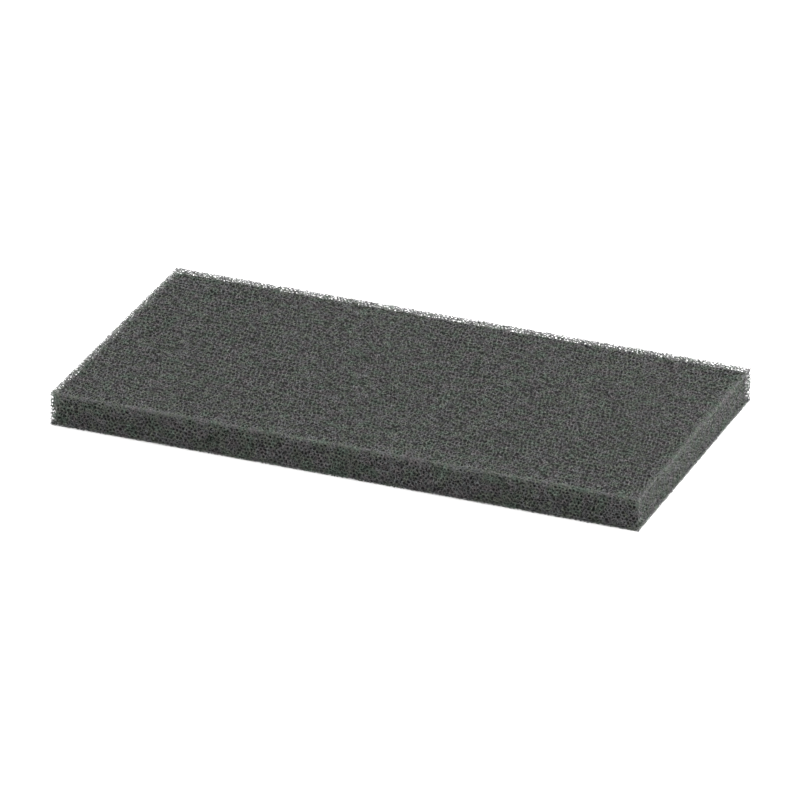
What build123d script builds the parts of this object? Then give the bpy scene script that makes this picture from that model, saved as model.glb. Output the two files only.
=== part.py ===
"""Foam air filter pad for a small engine's air cleaner.

A flat rectangular slab, cut from a block of open-cell foam. It lies in the air
cleaner's tray, and the cover holds it against the paper element or the grid
behind it. Intake air goes down through it, from the upper face to the lower.

Frame: millimetres, +X along the length, +Y across the width, +Z up. The origin
is the centre of the lower face, so the pad stands on Z = 0.
"""

from build123d import *
import os

# Driving dimensions
PAD_LENGTH = 210.0
PAD_WIDTH = 106.0
PAD_THICKNESS = 12.0

# Foam cut with a knife keeps sharp corners. These radii are the little that the
# blade drags off an upright corner, and off the rims of the two broad faces.
CORNER_RADIUS = 0.6
RIM_RADIUS = 0.25


def filter_pad():
    """The whole pad: an outline with barely rounded corners, at full thickness."""
    with BuildPart() as pad:
        with BuildSketch(Plane.XY):
            RectangleRounded(PAD_LENGTH, PAD_WIDTH, CORNER_RADIUS)
        extrude(amount=PAD_THICKNESS)
        upper_face = pad.faces().sort_by(Axis.Z)[-1]
        lower_face = pad.faces().sort_by(Axis.Z)[0]
        fillet(upper_face.edges() + lower_face.edges(), RIM_RADIUS)
    pad.part.label = "filter_pad"
    return pad.part


os.makedirs("parts", exist_ok=True)
export_step(filter_pad(), "parts/filter_pad.step")
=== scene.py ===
"""A flat foam air filter pad: open cells cut through by a blade, and a pale studio round it."""

import itertools
import math

import bpy
import numpy as np
from mathutils import Matrix, Vector


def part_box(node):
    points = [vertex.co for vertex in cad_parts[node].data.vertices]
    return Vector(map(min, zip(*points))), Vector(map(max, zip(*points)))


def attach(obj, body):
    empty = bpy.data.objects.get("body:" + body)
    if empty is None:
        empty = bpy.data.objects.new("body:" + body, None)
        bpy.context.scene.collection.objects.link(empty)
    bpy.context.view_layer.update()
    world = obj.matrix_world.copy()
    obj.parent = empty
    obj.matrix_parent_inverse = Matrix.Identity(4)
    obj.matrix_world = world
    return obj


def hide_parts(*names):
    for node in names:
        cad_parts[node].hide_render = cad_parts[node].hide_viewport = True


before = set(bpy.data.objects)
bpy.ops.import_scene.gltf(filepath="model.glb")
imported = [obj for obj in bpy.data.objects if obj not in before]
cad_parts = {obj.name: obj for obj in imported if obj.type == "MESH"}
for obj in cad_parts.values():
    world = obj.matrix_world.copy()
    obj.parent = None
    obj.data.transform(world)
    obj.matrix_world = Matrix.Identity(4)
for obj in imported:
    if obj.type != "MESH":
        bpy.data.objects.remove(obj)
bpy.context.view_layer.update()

bl_info = {
    "name": "Foam Filter Pad",
    "version": (1, 0, 0),
    "blender": (4, 5, 0),
    "location": "View3D > Sidebar > Foam Pad",
    "description": "Makes a pad of open-cell filter foam out of its struts, and lights it",
    "category": "Object",
}

PAD_NODE = "filter_pad"
PAD_LOW, PAD_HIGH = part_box(PAD_NODE)

UP, DOWN, RIGHT, LEFT, BACK, FRONT = range(6)
SIDE_NAMES = ("upper", "lower", "right", "left", "back", "front")
SIDE_NORMALS = np.array(
    [(0, 0, 1), (0, 0, -1), (1, 0, 0), (-1, 0, 0), (0, 1, 0), (0, -1, 0)], float
)
SIDE_OFFSETS = np.array(
    [PAD_HIGH[2], -PAD_LOW[2], PAD_HIGH[0], -PAD_LOW[0], PAD_HIGH[1], -PAD_LOW[1]]
)
# How many pieces each side's cells are made in, along the pad's length
SIDE_TILES = (6, 3, 1, 1, 2, 2)
# The name of the flat map on each piece, which a bake can use
BAKE_MAP = "OFBake"


class FoamSettings(bpy.types.PropertyGroup):
    """The foam's sizes and colours"""

    cell_size: bpy.props.FloatProperty(
        name="Cell size",
        description="Cube root of one cell's volume",
        default=0.00122, min=0.0008, unit="LENGTH",
    )
    strut_width: bpy.props.FloatProperty(
        name="Strut width",
        description="Side of a strut's three-sided section",
        default=0.000190, min=0.00002, unit="LENGTH",
    )
    unevenness: bpy.props.FloatProperty(
        name="Unevenness",
        description="How much the struts differ in thickness from joint to joint",
        default=0.25, min=0.0, max=1.0,
    )
    upper_depth: bpy.props.FloatProperty(
        name="Upper depth",
        description="How deep the open cells go below the upper face",
        default=0.00052, min=0.0001, unit="LENGTH",
    )
    lower_depth: bpy.props.FloatProperty(
        name="Lower depth",
        description="How deep the open cells go above the lower face",
        default=0.00015, min=0.0001, unit="LENGTH",
    )
    side_depth: bpy.props.FloatProperty(
        name="Side depth",
        description="How deep the open cells go behind the cut sides",
        default=0.0017, min=0.0001, unit="LENGTH",
    )
    foot_depth: bpy.props.FloatProperty(
        name="Foot depth",
        description="The same along the foot of the cut sides",
        default=0.0006, min=0.0001, unit="LENGTH",
    )
    rim_reach: bpy.props.FloatProperty(
        name="Rim reach",
        description="How far in from a rim light still shows through the cells",
        default=0.0042, min=0.001, unit="LENGTH",
    )
    rim_drop: bpy.props.FloatProperty(
        name="Rim drop",
        description="How far down from a rim light still shows through the cells",
        default=0.0023, min=0.001, unit="LENGTH",
    )
    squash: bpy.props.FloatProperty(
        name="Squash",
        description="How deep the blade has pressed the cells together, on each side of its cut",
        default=0.0004, min=0.0, unit="LENGTH",
    )
    edge_squash: bpy.props.FloatProperty(
        name="Edge squash",
        description="How much deeper it has pressed them along the upper and lower edges",
        default=1.7, min=0.0,
    )
    shake: bpy.props.FloatProperty(
        name="Shake",
        description="How far cells lie off their even packing, as a share of its step",
        default=0.32, min=0.0, max=0.5,
    )
    relaxing: bpy.props.IntProperty(
        name="Relaxing",
        description="Rounds of surface tension, which evens out the struts",
        default=1, min=0,
    )
    seed: bpy.props.IntProperty(
        name="Seed",
        description="Which of the many like foams this one is",
        default=11, min=0,
    )
    strut_colour: bpy.props.FloatVectorProperty(
        name="Strut colour",
        description="Dyed foam, on the struts",
        default=(0.0622, 0.0686, 0.0624), min=0.0, max=1.0, subtype="COLOR",
    )
    depth_colour: bpy.props.FloatVectorProperty(
        name="Depth colour",
        description="The dark between the struts, where no light gets in",
        default=(0.008, 0.0082, 0.008), min=0.0, max=1.0, subtype="COLOR",
    )


class StudioSettings(bpy.types.PropertyGroup):
    """Where the camera stands, and the light"""

    azimuth: bpy.props.FloatProperty(
        name="Azimuth",
        description="How far the camera stands round to the pad's right",
        default=math.radians(22.16), subtype="ANGLE",
    )
    elevation: bpy.props.FloatProperty(
        name="Elevation",
        description="How far the camera looks down",
        default=math.radians(26.07), subtype="ANGLE",
    )
    distance: bpy.props.FloatProperty(
        name="Distance",
        description="From the camera to the pad",
        default=3.0133, unit="LENGTH",
    )
    lens: bpy.props.FloatProperty(
        name="Lens",
        description="Focal length in millimetres",
        default=405.0,
    )
    floor_colour: bpy.props.FloatVectorProperty(
        name="Floor colour",
        description="The paper that the pad lies on",
        default=(0.93, 0.93, 0.93), min=0.0, max=1.0, subtype="COLOR",
    )
    sky: bpy.props.FloatProperty(
        name="Sky",
        description="Strength of the even light from all round",
        default=1.37, min=0.0,
    )
    overhead: bpy.props.FloatProperty(
        name="Overhead",
        description="Power of the soft light above",
        default=36.0, min=0.0, unit="POWER",
    )
    side: bpy.props.FloatProperty(
        name="Side",
        description="Power of the soft light at the pad's right",
        default=22.5, min=0.0, unit="POWER",
    )


# ---------------------------------------------------------------- open cells

# The turn of the packing about X, Y and Z, so that its rows line up with none of the pad's sides
PACKING_TURN = (0.43, 0.31, 0.52)
# How much larger than the pad the packing is laid out, and how far outside the pad and inside its
# core cells are kept so that those at the sides are whole, in cells
PACKING_MARGIN, KEPT_MARGIN = 4, 2.4
# The rim at the foot, as shares of the drop and the reach of the other rims
FOOT_DROP, FOOT_REACH = 0.3, 0.4
# The farthest that a joint can lie from the middle of a cell that it belongs to, in cells
WIDEST_REACH = 1.05
# How many sets of four cells are tried at a time
BATCH = 3_000_000
# How many times longer a cell is than its struts, in the even packing
CELL_TO_STRUT = 2.245
# How far the corners of a joint's faces lie from the faces' middles, as a share of its own reach
JOINT_FACE = 0.943
# The least and the most that a joint is of its usual size
THINNEST, THICKEST = 0.5, 1.8
# A strut that the blade meets at a slant is cut at this least slope, and runs on for no more than
# this many usual struts
LEAST_SLOPE, LONGEST_STUB = 0.12, 1.7


def turned(x, y, z):
    """A turn about X, then Y, then Z, as a 3 x 3 array."""
    turns = (Matrix.Rotation(angle, 3, axis) for angle, axis in ((z, "Z"), (y, "Y"), (x, "X")))
    return np.array(next(turns) @ next(turns) @ next(turns))


def unit_vectors(rng, count):
    """Ways that point evenly all round."""
    v = rng.normal(size=(count, 3))
    return v / np.linalg.norm(v, axis=1)[:, None]


def drifted(points, rng, count=28, shortest=0.004, longest=0.060, strain=0.075):
    """Long soft waves carry the points off their rows, so the cells vary and line up nowhere."""
    length = np.exp(rng.uniform(math.log(shortest), math.log(longest), count))
    along = unit_vectors(rng, count) * (2 * math.pi / length)[:, None]
    push = unit_vectors(rng, count) * (strain * length / (2 * math.pi))[:, None]
    phase = rng.uniform(0, 2 * math.pi, count)
    out = points.copy()
    for wave in range(count):
        out += np.sin(points @ along[wave] + phase[wave])[:, None] * push[wave]
    return out


def depths(points):
    """How far each point lies inside each of the pad's six sides."""
    return SIDE_OFFSETS - points @ SIDE_NORMALS.T


def core_planes(foam):
    """The core's faces, as normals and offsets: its six sides, and the slants along its edges."""
    normals = [SIDE_NORMALS[UP], SIDE_NORMALS[DOWN]]
    offsets = [SIDE_OFFSETS[UP] - foam.upper_depth, SIDE_OFFSETS[DOWN] - foam.lower_depth]
    # the core's four sides lean out towards the foot, where little light gets in
    lean = (foam.side_depth - foam.foot_depth) / (PAD_HIGH[2] - PAD_LOW[2])
    for side in (RIGHT, LEFT, BACK, FRONT):
        normal = SIDE_NORMALS[side] + lean * SIDE_NORMALS[UP]
        size = np.linalg.norm(normal)
        normals.append(normal / size)
        offsets.append((SIDE_OFFSETS[side] - foam.foot_depth + lean * PAD_LOW[2]) / size)
    reach = {UP: foam.rim_drop, DOWN: FOOT_DROP * foam.rim_drop}
    for a, b in itertools.combinations(range(len(SIDE_NAMES)), 2):
        if a // 2 == b // 2:
            continue
        # a point s inside one side and t inside the other is outside the core where
        # s / from_a + t / from_b < 1
        from_a = reach.get(a, foam.rim_reach)
        from_b = foam.rim_reach * (FOOT_REACH if a == DOWN else 1.0)
        normal = SIDE_NORMALS[a] / from_a + SIDE_NORMALS[b] / from_b
        offset = SIDE_OFFSETS[a] / from_a + SIDE_OFFSETS[b] / from_b - 1
        size = np.linalg.norm(normal)
        normals.append(normal / size)
        offsets.append(offset / size)
    return np.array(normals), np.array(offsets)


def height_over_core(points, planes):
    """How far each point lies outside the core, or less than nothing inside it."""
    normals, offsets = planes
    return (points @ normals.T - offsets).max(axis=1)


def cell_centres(foam, planes, rng):
    """The middles of the cells near the pad's sides, packed as in froth, then drifted and shaken.

    Each cell's place in the packing comes with them, in half steps.
    """
    cube = 2 ** (1 / 3) * foam.cell_size
    turn = turned(*PACKING_TURN)
    middle = (np.array(PAD_LOW) + np.array(PAD_HIGH)) / 2
    half = (np.array(PAD_HIGH) - np.array(PAD_LOW)) / 2 + PACKING_MARGIN * foam.cell_size
    corners = np.array(list(np.ndindex(2, 2, 2))) * 2 - 1
    count = np.ceil(np.abs(corners * half @ turn).max(axis=0) / cube).astype(int) + 1
    blocks = []
    for i in range(-count[0], count[0]):
        j, k = np.meshgrid(
            np.arange(-count[1], count[1]), np.arange(-count[2], count[2]), indexing="ij"
        )
        block = np.stack([np.full(j.size, i), j.ravel(), k.ravel()], axis=1)
        where = (block + 0.5) * cube @ turn.T
        blocks.append(block[(np.abs(where) < half + cube).all(axis=1)])
    block = np.concatenate(blocks)
    place = np.concatenate([2 * block, 2 * block + 1])
    centres = drifted(place * (cube / 2) @ turn.T + middle, rng)
    shake = foam.shake * cube * np.cbrt(rng.uniform(0, 1, len(centres)))
    centres += unit_vectors(rng, len(centres)) * shake[:, None]
    margin = KEPT_MARGIN * foam.cell_size
    near_pad = depths(centres).min(axis=1) > -margin
    wanted = near_pad & (height_over_core(centres, planes) > -margin)
    return place[wanted], centres[wanted]


# The cells that may touch one, by the steps to their places in the packing
AROUND = np.array([
    s for s in np.ndindex(5, 5, 5)
    if len({v % 2 for v in s}) == 1 and 0 < sum((v - 2) ** 2 for v in s) <= 8
]) - 2
NEAREST = 20


def neighbours_of(place, centres):
    """Each cell's nearest others: their numbers, the way to them, and its length squared.

    The cells are put in the order of their places, and their middles come back in that order.
    """
    place = place - place.min(axis=0) + 2
    span = place.max(axis=0).astype(np.int64) + 3

    def code(p):
        return (p[:, 0] * span[1] + p[:, 1]) * span[2] + p[:, 2]

    own = code(place)
    order = np.argsort(own)
    own, place, centres = own[order], place[order], centres[order]
    around = np.empty((len(own), len(AROUND)), np.int64)
    for k, step in enumerate(AROUND):
        there = code(place + step)
        at = np.minimum(np.searchsorted(own, there), len(own) - 1)
        around[:, k] = np.where(own[at] == there, at, -1)
    way = np.where(around[..., None] >= 0, centres[around] - centres[:, None], 1.0)
    square = (way ** 2).sum(axis=2)
    near = np.argpartition(square, NEAREST, axis=1)[:, :NEAREST]
    around = np.take_along_axis(around, near, 1)
    way = np.take_along_axis(way, near[..., None], 1)
    return centres, around, way, np.take_along_axis(square, near, 1)


def meeting_points(foam, centres, around, way, square):
    """The points that are as far from four cells' middles, and nearer to no other: joints.

    The four cells' numbers come first, then the points.
    """
    later = around > np.arange(len(centres))[:, None]
    later_count = later.sum(axis=1)
    widest = (WIDEST_REACH * foam.cell_size) ** 2
    slack = 1e-7 * foam.cell_size ** 2
    cells, points = [], []
    for count in range(3, NEAREST + 1):
        rows = np.flatnonzero(later_count == count)
        threes = np.array(list(itertools.combinations(range(count), 3)))
        batch = max(1, BATCH // len(threes))
        for start in range(0, len(rows), batch):
            row = rows[start:start + batch]
            pick = np.argsort(~later[row], axis=1, kind="stable")[:, :count]
            to = np.take_along_axis(way[row], pick[..., None], 1)
            far = np.take_along_axis(square[row], pick, 1)
            a, b, c = (to[:, threes[:, k]] for k in range(3))
            bc = np.cross(b, c)
            with np.errstate(divide="ignore", invalid="ignore"):
                point = (
                    far[:, threes[:, 0], None] * bc
                    + far[:, threes[:, 1], None] * np.cross(c, a)
                    + far[:, threes[:, 2], None] * np.cross(a, b)
                ) / (2 * (a * bc).sum(axis=2))[..., None]
                i, t = np.nonzero((point ** 2).sum(axis=2) < widest)
            point = point[i, t]
            nearer = 2 * np.einsum("qkj,qj->qk", way[row][i], point) - square[row][i]
            real = nearer.max(axis=1) < slack
            i, t, point = i[real], t[real], point[real]
            others = np.take_along_axis(around[row], pick, 1)[i[:, None], threes[t]]
            cells.append(np.concatenate([row[i][:, None], others], axis=1))
            points.append(point + centres[row[i]])
    return np.sort(np.concatenate(cells), axis=1), np.concatenate(points)


def joints_of_foam(foam, planes):
    """Where four cells meet: points, and for each one the four joints it has struts to, or -1."""
    rng = np.random.default_rng(foam.seed)
    centres, *neighbours = neighbours_of(*cell_centres(foam, planes, rng))
    cells, points = meeting_points(foam, centres, *neighbours)

    # two joints that share three cells have a strut between them
    shared = cells[:, [1, 2, 3, 0, 2, 3, 0, 1, 3, 0, 1, 2]].reshape(-1, 3)
    key = (shared[:, 0] * len(centres) + shared[:, 1]) * len(centres) + shared[:, 2]
    order = np.argsort(key, kind="stable")
    same = np.diff(key[order]) == 0
    alone = ~np.append(False, same[:-1]) & ~np.append(same[1:], False)
    pair = np.flatnonzero(same & alone)
    near = np.full(len(key), -1)
    near[order[pair]] = order[pair + 1] // 4
    near[order[pair + 1]] = order[pair] // 4
    near = near.reshape(-1, 4)

    # surface tension: each joint moves half of the way to the middle of its neighbours
    for _ in range(foam.relaxing):
        known = (near >= 0).all(axis=1)
        points[known] += 0.5 * (points[near[known]].mean(axis=1) - points[known])
    return points, near


def pressed(points, foam):
    """The blade leaves the cells nearest its cut half as deep, with the struts laid along it.

    It presses harder along the edges of the upper and lower faces, and hardly at all on the rest
    of the lower face, whose cells are shallow as they are.
    """
    deep = depths(points)
    out = points.copy()
    for side, normal in enumerate(SIDE_NORMALS):
        others = slice(RIGHT, None) if side in (UP, DOWN) else slice(UP, RIGHT)
        to_edge = np.maximum(deep[:, others].min(axis=1), 0)
        reach = foam.squash * (1 + foam.edge_squash * np.exp(-to_edge / foam.cell_size))
        if side == DOWN:
            reach *= np.clip(1 - to_edge / foam.rim_reach, 0.1, 1)
        t = deep[:, side]
        moved = np.where(t > reach, t, np.where(t < -reach, t + reach, (t + reach) / 2))
        out -= (moved - t)[:, None] * normal
    return out


def joint_sizes(points, near, foam):
    """Each joint's reach along its struts. The struts between thick joints are thick."""
    rng = np.random.default_rng(foam.seed + 1)
    thick = rng.normal(size=len(points))
    for _ in range(2):
        around = np.where(near >= 0, thick[near], 0).sum(axis=1)
        thick = thick + around / np.maximum((near >= 0).sum(axis=1), 1)
    thick = np.exp(foam.unevenness * thick / thick.std())
    return foam.strut_width / math.sqrt(3) / JOINT_FACE * np.clip(thick, THINNEST, THICKEST)


# The other three corners of a joint's four, seen from outside across corner k
ACROSS = np.array([(1, 2, 3), (0, 3, 2), (0, 1, 3), (0, 2, 1)])


def facing(verts, near_ends, far_ends):
    """The far ends' corners, each three turned round so that its strut runs without a twist."""
    best, least = far_ends, np.full(len(near_ends), np.inf)
    for shift in range(3):
        rolled = np.roll(far_ends, shift, axis=1)
        gap = ((verts[near_ends] - verts[rolled]) ** 2).sum(axis=(1, 2))
        better = gap < least
        best = np.where(better[:, None], rolled, best)
        least = np.where(better, gap, least)
    return best


def run_to_cut(verts, ring, here, way, strut):
    """How far a strut's three corners run along its way to the side that it meets first."""
    slope = way @ SIDE_NORMALS.T
    with np.errstate(divide="ignore", invalid="ignore"):
        through = np.where(slope > 1e-6, depths(here) / slope, np.inf).argmin(axis=1)
    rows = np.arange(len(ring))
    to_sides = depths(verts[ring].reshape(-1, 3)).reshape(-1, 3, len(SIDE_NAMES))
    to_side = to_sides[rows[:, None], np.arange(3), through[:, None]]
    slope = np.maximum(slope[rows, through], LEAST_SLOPE)
    return np.clip(to_side / slope[:, None], 0, LONGEST_STUB * strut)


def foam_piece(name, side, verts, quads, triangles, smooth_triangles):
    """A piece of four-cornered and three-cornered faces, of which the last triangles are flat."""
    mesh = bpy.data.meshes.new(name)
    mesh.vertices.add(len(verts))
    mesh.vertices.foreach_set("co", verts.astype(np.float32).ravel())
    loops = np.concatenate([quads.ravel(), triangles.ravel()])
    mesh.loops.add(len(loops))
    mesh.loops.foreach_set("vertex_index", loops.astype(np.int32))
    starts = np.concatenate([
        4 * np.arange(len(quads)), 4 * len(quads) + 3 * np.arange(len(triangles))
    ])
    mesh.polygons.add(len(starts))
    mesh.polygons.foreach_set("loop_start", starts.astype(np.int32))
    smooth = np.arange(len(starts)) < len(quads) + smooth_triangles
    mesh.polygons.foreach_set("use_smooth", smooth)
    # one flat map of the piece, as its side is seen, which a bake can use
    across = np.flatnonzero(SIDE_NORMALS[side] == 0)
    low, high = verts[:, across].min(axis=0), verts[:, across].max(axis=0)
    seen = (verts[loops][:, across] - low) / (high - low)
    mesh.uv_layers.new(name=BAKE_MAP).data.foreach_set("uv", seen.astype(np.float32).ravel())
    mesh.update(calc_edges=True)
    if mesh.validate():
        raise RuntimeError(f"{name} has faces that don't hold together")
    piece = bpy.data.objects.new(name, mesh)
    bpy.context.scene.collection.objects.link(piece)
    return piece


def struts_piece(name, side, points, near, sizes, mine, solid_end, strut):
    """One piece of foam: four-cornered joints, and a three-sided strut from each to its neighbours.

    mine marks the joints of this piece. A strut to a joint of another piece is made by the joint
    with the lower number, and closed at both ends. solid_end marks the joints inside the core.
    strut is the usual length of one.
    """
    index = np.flatnonzero(mine)
    size = sizes[index]
    number = np.full(len(points), -1)
    number[index] = np.arange(len(index))
    here = points[index]
    other = near[index]
    lost = other < 0

    # a joint's corners point away from its struts, and a strut starts at the three across from one
    line = np.where(lost[..., None], 0, points[other] - here[:, None])
    line = np.where(lost[..., None], -line.sum(axis=1, keepdims=True), line)
    line += np.where(lost, 1e-9, 0)[..., None]
    length = np.linalg.norm(line, axis=2)
    line /= length[..., None]
    corner = here[:, None] - size[:, None, None] * line
    edge = corner[:, 1:] - corner[:, :1]
    outwards = np.einsum("ij,ij->i", edge[:, 0], np.cross(edge[:, 1], edge[:, 2])) > 0
    ring = np.broadcast_to(ACROSS, (len(index), 4, 3)).copy()
    ring[~outwards] = ring[~outwards][..., ::-1]
    ring += 4 * np.arange(len(index))[:, None, None]
    corners = corner.reshape(-1, 3)
    verts = [corners]
    quads, slivers, caps = [], [], []

    inside = depths(points).min(axis=1) > 0
    there = np.where(lost, -1, number[other])
    joined = there >= 0
    outward = ~inside[other] & ~lost
    core_end = solid_end[other] & inside[other] & ~lost
    elsewhere = ~joined & ~outward & ~core_end
    handed = elsewhere & ((index[:, None] > other) | lost)
    free = (outward | (elsewhere & ~handed)) & ~joined

    # closed joint faces, where there is no strut or it belongs to the neighbour's piece
    caps.append(ring[handed])

    # struts inside the piece, each made once
    i, k = np.nonzero(joined & (np.arange(len(index))[:, None] < there))
    j = there[i, k]
    back = np.argmax(other[j] == index[i][:, None], axis=1)
    a = ring[i, k]
    b = facing(corners, a, ring[j, back][:, ::-1])
    for s in range(3):
        n = (s + 1) % 3
        quads.append(np.stack([a[:, s], a[:, n], b[:, n], b[:, s]], axis=1))

    # struts with a free end: cut flush with a side, or ending in the next piece
    i, k = np.nonzero(free)
    a = ring[i, k]
    way = line[i, k]
    run = np.where(
        outward[i, k][:, None], run_to_cut(corners, a, here[i], way, strut),
        (length[i, k] - size[i] / 3)[:, None],
    )
    # a corner that already lies past the side is its own end
    grows = run > 0
    ends = corners[a] + way[:, None] * run[..., None]
    verts.append(ends[grows])
    b = np.where(grows, len(corners) - 1 + np.cumsum(grows).reshape(-1, 3), a)
    for s in range(3):
        n = (s + 1) % 3
        both, only_s, only_n = (
            grows[:, s] & grows[:, n], grows[:, s] & ~grows[:, n], ~grows[:, s] & grows[:, n]
        )
        quads.append(np.stack([a[:, s], a[:, n], b[:, n], b[:, s]], axis=1)[both])
        slivers.append(np.stack([a[:, s], a[:, n], b[:, s]], axis=1)[only_s])
        slivers.append(np.stack([a[:, s], a[:, n], b[:, n]], axis=1)[only_n])
    caps.append(b)

    # struts that taper away into the core
    i, k = np.nonzero(core_end & ~joined)
    a = ring[i, k]
    tip = sum(map(len, verts)) + np.arange(len(i))
    verts.append(points[other[i, k]])
    for s in range(3):
        slivers.append(np.stack([a[:, s], a[:, (s + 1) % 3], tip], axis=1))

    return foam_piece(
        name, side, np.clip(np.concatenate(verts), PAD_LOW, PAD_HIGH), np.concatenate(quads),
        np.concatenate(slivers + caps), sum(map(len, slivers)),
    )


# ------------------------------------------------------------------ materials


def node_material(name):
    """A new material, with its nodes, its links and its surface shader."""
    material = bpy.data.materials.new(name)
    material.use_nodes = True
    nodes = material.node_tree.nodes
    return material, nodes, material.node_tree.links, nodes["Principled BSDF"]


def add(nodes, kind, **values):
    """A node with some of its own settings made."""
    node = nodes.new(kind)
    for name, value in values.items():
        setattr(node, name, value)
    return node


def maths(group, operation, *sources):
    """A Math node of a group, fed by sockets or numbers, in order."""
    node = add(group.nodes, "ShaderNodeMath", operation=operation)
    for at, source in enumerate(sources):
        if isinstance(source, (int, float)):
            node.inputs[at].default_value = source
        else:
            group.links.new(source, node.inputs[at])
    return node.outputs[0]


def rim_group():
    """A mask for a painted highlight, where light gets in from two sides: full at the pad's edges,
    and fading over the reach.
    """
    group = bpy.data.node_groups.new("rim light", "ShaderNodeTree")
    group.interface.new_socket("Reach", in_out="INPUT", socket_type="NodeSocketFloat")
    group.interface.new_socket("Rim", in_out="OUTPUT", socket_type="NodeSocketFloat")
    given, result = group.nodes.new("NodeGroupInput"), group.nodes.new("NodeGroupOutput")
    coords = group.nodes.new("ShaderNodeTexCoord")
    apart = group.nodes.new("ShaderNodeSeparateXYZ")
    group.links.new(coords.outputs["Object"], apart.inputs[0])
    inside = []
    for axis, low, high in zip(apart.outputs, PAD_LOW, PAD_HIGH):
        off = maths(group, "ABSOLUTE", maths(group, "SUBTRACT", axis, (low + high) / 2))
        inside.append(maths(group, "SUBTRACT", (high - low) / 2, off))
    x, y, z = inside
    lesser = maths(group, "MINIMUM", x, y)
    greater = maths(group, "MAXIMUM", x, y)
    second = maths(group, "MAXIMUM", lesser, maths(group, "MINIMUM", greater, z))
    fade = maths(group, "DIVIDE", maths(group, "MAXIMUM", second, 0.0), given.outputs["Reach"])
    group.links.new(
        maths(group, "EXPONENT", maths(group, "MULTIPLY", fade, -1.0)), result.inputs["Rim"]
    )
    return group


# What is left of the dye's colour in its darkest grains
DARKEST_GRAIN = 0.15
# Greenish, yellowish, bluish and reddish greys, as dyes part in the bath: where, and which
DYE_TONES = (
    (0.36, (0.84, 1.07, 0.91)), (0.46, (1.04, 1.01, 0.88)),
    (0.54, (0.99, 0.98, 1.09)), (0.64, (1.15, 0.94, 1.05)),
)


def dye_and_rim_light_group():
    """Foam dye, uneven from strut to strut and a little from patch to patch, with a painted
    highlight near the pad's edges, where light gets in from two sides.
    """
    group = bpy.data.node_groups.new("foam dye", "ShaderNodeTree")
    group.interface.new_socket("Colour", in_out="INPUT", socket_type="NodeSocketColor")
    for name in ("Grain", "Contrast", "Rim", "Rim Gain"):
        group.interface.new_socket(name, in_out="INPUT", socket_type="NodeSocketFloat")
    group.interface.new_socket("Colour", in_out="OUTPUT", socket_type="NodeSocketColor")
    given, result = group.nodes.new("NodeGroupInput"), group.nodes.new("NodeGroupOutput")
    coords = group.nodes.new("ShaderNodeTexCoord")
    grain = add(group.nodes, "ShaderNodeTexNoise")
    grain.inputs["Detail"].default_value = 1.0
    group.links.new(coords.outputs["Object"], grain.inputs["Vector"])
    group.links.new(given.outputs["Grain"], grain.inputs["Scale"])
    spread = maths(group, "SUBTRACT", grain.outputs["Fac"], 0.5)
    spread = maths(group, "MULTIPLY", spread, given.outputs["Contrast"])
    gain = maths(group, "MAXIMUM", maths(group, "ADD", 1.0, spread), DARKEST_GRAIN)
    # painted highlight: the colour is raised near the pad's edges, by the rim mask times its gain
    rim = maths(group, "MULTIPLY_ADD", given.outputs["Rim"], given.outputs["Rim Gain"], 1.0)
    gain = maths(group, "MULTIPLY", gain, rim)
    hue = add(group.nodes, "ShaderNodeTexNoise")
    hue.inputs["Detail"].default_value = 2.0
    hue.inputs["Scale"].default_value = 240.0
    group.links.new(coords.outputs["Object"], hue.inputs["Vector"])
    tones = add(group.nodes, "ShaderNodeValToRGB")
    stops = tones.color_ramp.elements
    while len(stops) < len(DYE_TONES):
        stops.new(0.5)
    for stop, (place, tone) in zip(stops, DYE_TONES):
        stop.position, stop.color = place, (*tone, 1)
    group.links.new(hue.outputs["Fac"], tones.inputs["Fac"])
    toned = add(group.nodes, "ShaderNodeVectorMath", operation="MULTIPLY")
    group.links.new(given.outputs["Colour"], toned.inputs[0])
    group.links.new(tones.outputs["Color"], toned.inputs[1])
    scaled = add(group.nodes, "ShaderNodeVectorMath", operation="SCALE")
    group.links.new(toned.outputs[0], scaled.inputs[0])
    group.links.new(gain, scaled.inputs["Scale"])
    group.links.new(scaled.outputs[0], result.inputs["Colour"])
    return group


def skin_group():
    """The fine grain of a skin: how dull it is from spot to spot, and its height for a bump."""
    group = bpy.data.node_groups.new("foam skin", "ShaderNodeTree")
    for name in ("Grain", "Dullest", "Glossiest"):
        group.interface.new_socket(name, in_out="INPUT", socket_type="NodeSocketFloat")
    for name in ("Roughness", "Height"):
        group.interface.new_socket(name, in_out="OUTPUT", socket_type="NodeSocketFloat")
    given, result = group.nodes.new("NodeGroupInput"), group.nodes.new("NodeGroupOutput")
    coords = group.nodes.new("ShaderNodeTexCoord")
    grain = add(group.nodes, "ShaderNodeTexNoise")
    grain.inputs["Detail"].default_value = 3.0
    group.links.new(coords.outputs["Object"], grain.inputs["Vector"])
    group.links.new(given.outputs["Grain"], grain.inputs["Scale"])
    spread = add(group.nodes, "ShaderNodeMapRange")
    spread.inputs["From Min"].default_value = 0.3
    spread.inputs["From Max"].default_value = 0.7
    group.links.new(grain.outputs["Fac"], spread.inputs["Value"])
    group.links.new(given.outputs["Glossiest"], spread.inputs["To Min"])
    group.links.new(given.outputs["Dullest"], spread.inputs["To Max"])
    group.links.new(spread.outputs["Result"], result.inputs["Roughness"])
    group.links.new(grain.outputs["Fac"], result.inputs["Height"])
    return group


def placed_group(nodes, name, build):
    """The named group in a material, built the first time it is asked for."""
    node = nodes.new("ShaderNodeGroup")
    node.node_tree = bpy.data.node_groups.get(name) or build()
    return node


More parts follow.
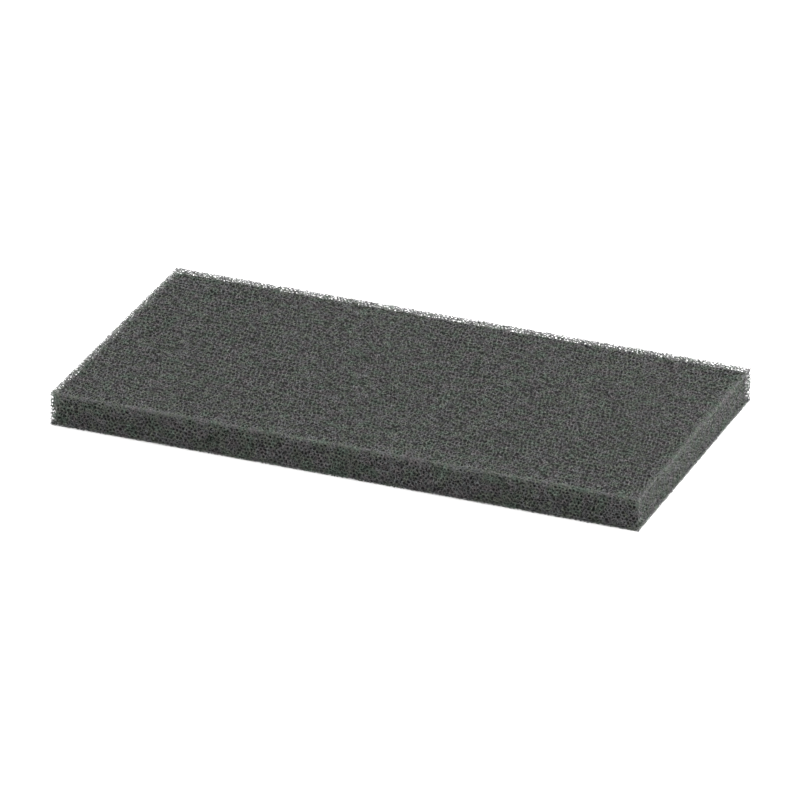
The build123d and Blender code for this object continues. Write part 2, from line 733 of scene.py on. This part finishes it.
def strut_material(foam):
    """Cured foam: dull, a little greasy, dyed through, with a painted highlight near the pad's
    edges.
    """
    material, nodes, links, surface = node_material("dyed foam struts")
    # painted highlight on the struts near the pad's edges, where light gets in from two sides
    rim = placed_group(nodes, "rim light", rim_group)
    rim.inputs["Reach"].default_value = 0.0018
    dye_and_rim_light = placed_group(nodes, "foam dye", dye_and_rim_light_group)
    dye_and_rim_light.inputs["Colour"].default_value = (*foam.strut_colour, 1)
    dye_and_rim_light.inputs["Grain"].default_value = 1500.0
    dye_and_rim_light.inputs["Contrast"].default_value = 3.6
    dye_and_rim_light.inputs["Rim Gain"].default_value = 0.2
    links.new(rim.outputs["Rim"], dye_and_rim_light.inputs["Rim"])
    links.new(dye_and_rim_light.outputs["Colour"], surface.inputs["Base Color"])
    skin = placed_group(nodes, "foam skin", skin_group)
    skin.inputs["Grain"].default_value = 9000.0
    skin.inputs["Glossiest"].default_value = 0.38
    skin.inputs["Dullest"].default_value = 0.62
    links.new(skin.outputs["Roughness"], surface.inputs["Roughness"])
    bump = add(nodes, "ShaderNodeBump")
    bump.inputs["Strength"].default_value = 0.5
    bump.inputs["Distance"].default_value = 0.00003
    links.new(skin.outputs["Height"], bump.inputs["Height"])
    links.new(bump.outputs["Normal"], surface.inputs["Normal"])
    return material


def depth_material(foam):
    """What shows between the struts: further cells, painted almost black for the shade that fills
    them, with a painted highlight near the pad's edges.
    """
    material, nodes, links, surface = node_material("deep foam")
    # painted highlight near the pad's edges, strong on the core's slants, where light gets in from
    # two sides
    rim = placed_group(nodes, "rim light", rim_group)
    rim.inputs["Reach"].default_value = 0.0032
    dye_and_rim_light = placed_group(nodes, "foam dye", dye_and_rim_light_group)
    dye_and_rim_light.inputs["Grain"].default_value = 1300.0
    dye_and_rim_light.inputs["Contrast"].default_value = 3.0
    dye_and_rim_light.inputs["Rim Gain"].default_value = 1.0
    coords = nodes.new("ShaderNodeTexCoord")
    cells = add(nodes, "ShaderNodeTexVoronoi", feature="DISTANCE_TO_EDGE")
    cells.inputs["Scale"].default_value = 1.0 / foam.cell_size
    links.new(coords.outputs["Object"], cells.inputs["Vector"])
    colour = Vector(foam.depth_colour)

    # painted shade: dim further struts and the black between them, as little light gets this deep;
    # and on the lower face, where the open cells are shallow, the next struts in nearly their own
    # colour
    either = add(nodes, "ShaderNodeMix", data_type="RGBA")
    for socket, stops in (
        ("A", ((0.05, 2.2 * colour), (0.2, 0.4 * colour))),
        ("B", ((0.06, 0.8 * Vector(foam.strut_colour)), (0.14, colour))),
    ):
        tint = nodes.new("ShaderNodeValToRGB")
        for stop, (place, tone) in zip(tint.color_ramp.elements, stops):
            stop.position, stop.color = place, (*tone, 1)
        links.new(cells.outputs["Distance"], tint.inputs["Fac"])
        links.new(tint.outputs["Color"], either.inputs[socket])
    apart = nodes.new("ShaderNodeSeparateXYZ")
    links.new(coords.outputs["Object"], apart.inputs[0])
    just_above = PAD_LOW[2] + 1.5 * foam.lower_depth
    below = maths(material.node_tree, "LESS_THAN", apart.outputs["Z"], just_above)
    links.new(below, either.inputs["Factor"])
    links.new(either.outputs["Result"], dye_and_rim_light.inputs["Colour"])
    links.new(rim.outputs["Rim"], dye_and_rim_light.inputs["Rim"])
    links.new(dye_and_rim_light.outputs["Colour"], surface.inputs["Base Color"])
    skin = placed_group(nodes, "foam skin", skin_group)
    skin.inputs["Grain"].default_value = 2500.0
    skin.inputs["Glossiest"].default_value = 0.7
    skin.inputs["Dullest"].default_value = 0.95
    links.new(skin.outputs["Roughness"], surface.inputs["Roughness"])
    surface.inputs["Specular IOR Level"].default_value = 0.1
    bump = add(nodes, "ShaderNodeBump", invert=True)
    bump.inputs["Strength"].default_value = 0.6
    bump.inputs["Distance"].default_value = 0.2 * foam.cell_size
    links.new(cells.outputs["Distance"], bump.inputs["Height"])
    links.new(bump.outputs["Normal"], surface.inputs["Normal"])
    return material


def dressed(piece, material):
    piece.data.materials.clear()
    piece.data.materials.append(material)
    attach(piece, "root")
    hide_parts(PAD_NODE)


# ------------------------------------------------------------------ operators


class FOAMPAD_OT_core(bpy.types.Operator):
    """Add the inside of the pad, a block with slanted edges, painted dark for the shade deep in the
    foam
    """

    bl_idname = "foampad.add_core"
    bl_label = "Foam Core"
    bl_options = {"REGISTER", "UNDO"}

    def execute(self, context):
        foam = context.scene.foam_pad
        bpy.ops.object.select_all(action="DESELECT")
        middle = (PAD_LOW + PAD_HIGH) / 2
        size = PAD_HIGH - PAD_LOW
        bpy.ops.mesh.primitive_cube_add(size=1, location=middle, scale=size)
        core = context.object
        core.name = core.data.name = "foam_core"
        bpy.ops.object.transform_apply(location=True, rotation=True, scale=True)
        bpy.ops.object.mode_set(mode="EDIT")
        for normal, offset in zip(*core_planes(foam)):
            bpy.ops.mesh.select_all(action="SELECT")
            bpy.ops.mesh.bisect(
                plane_co=normal * offset, plane_no=normal, use_fill=True, clear_outer=True
            )
        bpy.ops.mesh.select_all(action="SELECT")
        bpy.ops.mesh.normals_make_consistent(inside=False)
        bpy.ops.object.mode_set(mode="OBJECT")
        dressed(core, depth_material(foam))
        return {"FINISHED"}


class FOAMPAD_OT_cells(bpy.types.Operator):
    """Add the open cells on all six cut sides, strut by strut"""

    bl_idname = "foampad.add_cells"
    bl_label = "Open Cells"
    bl_options = {"REGISTER", "UNDO"}

    def execute(self, context):
        foam = context.scene.foam_pad
        planes = core_planes(foam)
        points, near = joints_of_foam(foam, planes)
        points = pressed(points, foam)
        deep = depths(points)
        solid_end = height_over_core(points, planes) < 0
        sizes = joint_sizes(points, near, foam)
        shown = (deep.min(axis=1) > 0) & ~solid_end
        usual = np.array([foam.upper_depth, foam.lower_depth] + 4 * [foam.side_depth])
        side_of = (deep / usual).argmin(axis=1)
        material = strut_material(foam)
        length = PAD_HIGH[0] - PAD_LOW[0]
        for side, tiles in enumerate(SIDE_TILES):
            tile = np.clip((points[:, 0] - PAD_LOW[0]) / length * tiles, 0, tiles - 1).astype(int)
            for t in range(tiles):
                name = f"{SIDE_NAMES[side]}_cells" + (f"_{t + 1}" if tiles > 1 else "")
                mine = shown & (side_of == side) & (tile == t)
                piece = struts_piece(
                    name, side, points, near, sizes, mine, solid_end,
                    foam.cell_size / CELL_TO_STRUT,
                )
                dressed(piece, material)
        return {"FINISHED"}


FLOOR_SIZE = 12.0
LAMP_SIZES = {"overhead": 1.6, "side": 1.0}
LAMP_PLACES = {"overhead": (0.2, 0.5, 1.6), "side": (1.5, 0.0, 0.5)}
# How far the camera is shifted from a straight look at the origin, in metres
CAMERA_UP, CAMERA_LEFT = 0.00409, 0.00052


class FOAMPAD_OT_studio(bpy.types.Operator):
    """Add the paper floor, the soft lights and the camera"""

    bl_idname = "foampad.add_studio"
    bl_label = "Studio"
    bl_options = {"REGISTER", "UNDO"}

    def execute(self, context):
        scene = context.scene
        studio = scene.foam_studio
        scene.view_settings.view_transform = "Standard"
        bpy.ops.object.select_all(action="DESELECT")
        bpy.ops.mesh.primitive_plane_add(size=FLOOR_SIZE)
        floor = context.object
        floor.name = floor.data.name = "paper_floor"
        material, _, _, surface = node_material("white paper")
        surface.inputs["Base Color"].default_value = (*studio.floor_colour, 1)
        surface.inputs["Roughness"].default_value = 0.9
        floor.data.materials.append(material)

        world = bpy.data.worlds.new("studio")
        world.use_nodes = True
        background = world.node_tree.nodes["Background"]
        background.inputs["Color"].default_value = (1, 1, 1, 1)
        background.inputs["Strength"].default_value = studio.sky
        scene.world = world

        for name, place in LAMP_PLACES.items():
            bpy.ops.object.light_add(type="AREA", location=place)
            lamp = context.object
            lamp.name = lamp.data.name = f"{name}_light"
            lamp.data.energy = getattr(studio, name)
            lamp.data.size = LAMP_SIZES[name]
            lamp.rotation_euler = (-Vector(place)).to_track_quat("-Z", "Y").to_euler()

        a, e = studio.azimuth, studio.elevation
        back = Vector((math.sin(a) * math.cos(e), -math.cos(a) * math.cos(e), math.sin(e)))
        right = Vector((math.cos(a), math.sin(a), 0))
        up = back.cross(right)
        bpy.ops.object.camera_add()
        camera = context.object
        camera.name = camera.data.name = "camera"
        camera.data.lens = studio.lens
        camera.data.sensor_width = 36
        camera.data.clip_end = 50
        place = back * studio.distance + up * CAMERA_UP - right * CAMERA_LEFT
        turn = Matrix((right, up, back)).transposed().to_4x4()
        camera.matrix_world = Matrix.Translation(place) @ turn
        scene.camera = camera
        return {"FINISHED"}


class FOAMPAD_PT_panel(bpy.types.Panel):
    """The pad's pieces and the studio, in the order they are made"""

    bl_label = "Foam Pad"
    bl_idname = "FOAMPAD_PT_panel"
    bl_space_type = "VIEW_3D"
    bl_region_type = "UI"
    bl_category = "Foam Pad"

    def draw(self, context):
        for settings in (context.scene.foam_pad, context.scene.foam_studio):
            for name in settings.bl_rna.properties.keys():
                if name not in ("rna_type", "name"):
                    self.layout.prop(settings, name)
        for operator in (FOAMPAD_OT_core, FOAMPAD_OT_cells, FOAMPAD_OT_studio):
            self.layout.operator(operator.bl_idname)


CLASSES = (
    FoamSettings, StudioSettings,
    FOAMPAD_OT_core, FOAMPAD_OT_cells, FOAMPAD_OT_studio, FOAMPAD_PT_panel,
)


def register():
    """Makes the settings, the operators and the panel known to Blender."""
    for cls in CLASSES:
        bpy.utils.register_class(cls)
    bpy.types.Scene.foam_pad = bpy.props.PointerProperty(type=FoamSettings)
    bpy.types.Scene.foam_studio = bpy.props.PointerProperty(type=StudioSettings)


def unregister():
    """Takes back what register did, in the other order."""
    del bpy.types.Scene.foam_studio
    del bpy.types.Scene.foam_pad
    for cls in reversed(CLASSES):
        bpy.utils.unregister_class(cls)


def main():
    """Makes the studio and the pad."""
    register()
    bpy.ops.foampad.add_studio()
    bpy.ops.foampad.add_core()
    bpy.ops.foampad.add_cells()


if __name__ == "__main__":
    main()
